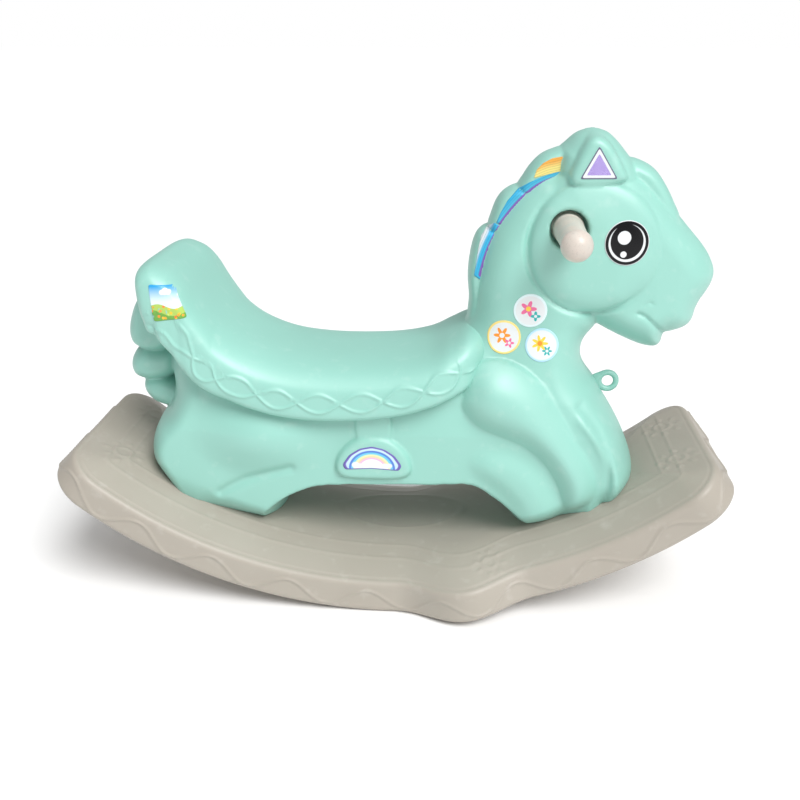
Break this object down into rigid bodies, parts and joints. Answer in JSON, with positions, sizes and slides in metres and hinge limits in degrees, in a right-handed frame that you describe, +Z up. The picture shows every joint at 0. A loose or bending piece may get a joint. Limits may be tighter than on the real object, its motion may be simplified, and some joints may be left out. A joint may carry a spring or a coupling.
{
  "type": "rocking horse",
  "caption": "Toddler's rocking horse: a hollow moulded plastic horse with a saddle and a cross handlebar, screwed to a curved rocker tray with foot rests.",
  "frame": {"origin": "middle of the flat under the rocker, where it meets the floor", "axes": "+X towards the horse's head along the rocker, +Y to the horse's left across the rocker, +Z up"},
  "size_m": [0.78, 0.331, 0.532],
  "materials": {
    "base_plastic": "warm grey blow-moulded polyethylene, satin, with fine mould texture",
    "body_plastic": "mint green blow-moulded polyethylene with a soft sheen",
    "grip_plastic": "warm grey plastic with fine darker speckles",
    "core_plastic": "plain off-white nylon bar",
    "fastener_steel": "zinc-plated steel",
    "decal_eye": "printed vinyl: black pupil with white rings and highlights",
    "decal_ear": "printed vinyl: violet triangle with a white border",
    "decal_mane": "printed vinyl: coloured flowing stripes",
    "decal_round": null,
    "decal_picture": null,
    "decal_rainbow": "printed vinyl: half-moon with a rainbow"
  },
  "bodies": {
    "toy": {"rocker_base": "base_plastic", "horse_body": "body_plastic", "base_washer_front_right": "fastener_steel", "base_washer_front_left": "fastener_steel", "base_washer_rear_right": "fastener_steel", "base_washer_rear_left": "fastener_steel", "base_screw_front_right": "fastener_steel", "base_screw_front_left": "fastener_steel", "base_screw_rear_right": "fastener_steel", "base_screw_rear_left": "fastener_steel", "eye_decal_right": "decal_eye", "eye_decal_left": "decal_eye", "ear_decal_right": "decal_ear", "ear_decal_left": "decal_ear", "mane_top_decal_right": "decal_mane", "mane_top_decal_left": "decal_mane", "mane_middle_decal_right": "decal_mane", "mane_middle_decal_left": "decal_mane", "mane_low_decal_right": "decal_mane", "mane_low_decal_left": "decal_mane", "round_upper_decal_right": "decal_round", "round_upper_decal_left": "decal_round", "round_rear_decal_right": "decal_round", "round_rear_decal_left": "decal_round", "round_front_decal_right": "decal_round", "round_front_decal_left": "decal_round", "picture_decal_right": "decal_picture", "picture_decal_left": "decal_picture", "rainbow_decal_right": "decal_rainbow", "rainbow_decal_left": "decal_rainbow"},
    "handlebar": {"handle_core": "core_plastic", "handle_grip_left": "grip_plastic", "handle_grip_right": "grip_plastic"}
  },
  "joints": [
    {"name": "handlebar_turn", "type": "hinge", "parent": "toy", "child": "handlebar", "pos_m": [0.191, 0, 0.433], "axis": [0, 1, 0], "continuous": true}
  ]
}
